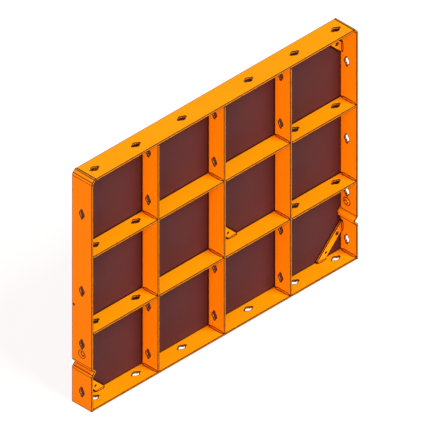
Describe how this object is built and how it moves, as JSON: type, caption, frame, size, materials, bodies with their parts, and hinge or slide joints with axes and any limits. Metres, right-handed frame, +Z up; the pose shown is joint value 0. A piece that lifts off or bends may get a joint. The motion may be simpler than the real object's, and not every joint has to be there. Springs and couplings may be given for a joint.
{
  "type": "concrete formwork panel",
  "caption": "Flat panel for concrete formwork: a grid of flat steel bars and ribs with slots and tie notches, backed by film-faced plywood.",
  "frame": {"origin": "middle of the panel's length and depth, on the underside of the bottom edge it stands on", "axes": "+X along the panel's width, +Y out of the concrete face (the ribs open toward -Y), +Z up from the bottom edge to the top edge"},
  "size_m": [1, 0.075, 0.75],
  "materials": {
    "frame_paint": "satin orange enamel on hot-rolled flat steel",
    "ply_film": "smooth dark brown phenolic film on plywood",
    "seal_compound": "matt grey sealing compound",
    "zinc_steel": "zinc-plated steel"
  },
  "bodies": {
    "root": {"left_bar": "frame_paint", "right_bar": "frame_paint", "bottom_bar": "frame_paint", "top_bar": "frame_paint", "upright_rib_1": "frame_paint", "upright_rib_2": "frame_paint", "upright_rib_3": "frame_paint", "cross_rib_1_1": "frame_paint", "cross_rib_1_2": "frame_paint", "cross_rib_1_3": "frame_paint", "cross_rib_1_4": "frame_paint", "cross_rib_2_1": "frame_paint", "cross_rib_2_2": "frame_paint", "cross_rib_2_3": "frame_paint", "cross_rib_2_4": "frame_paint", "fixing_strip_bottom_left": "frame_paint", "fixing_strip_bottom_right": "frame_paint", "fixing_strip_top_left": "frame_paint", "fixing_strip_top_right": "frame_paint", "fixing_strip_middle": "frame_paint", "plywood_sheet": "ply_film", "edge_seal": "seal_compound", "strip_screws": "zinc_steel", "edge_pins": "zinc_steel"}
  },
  "joints": []
}
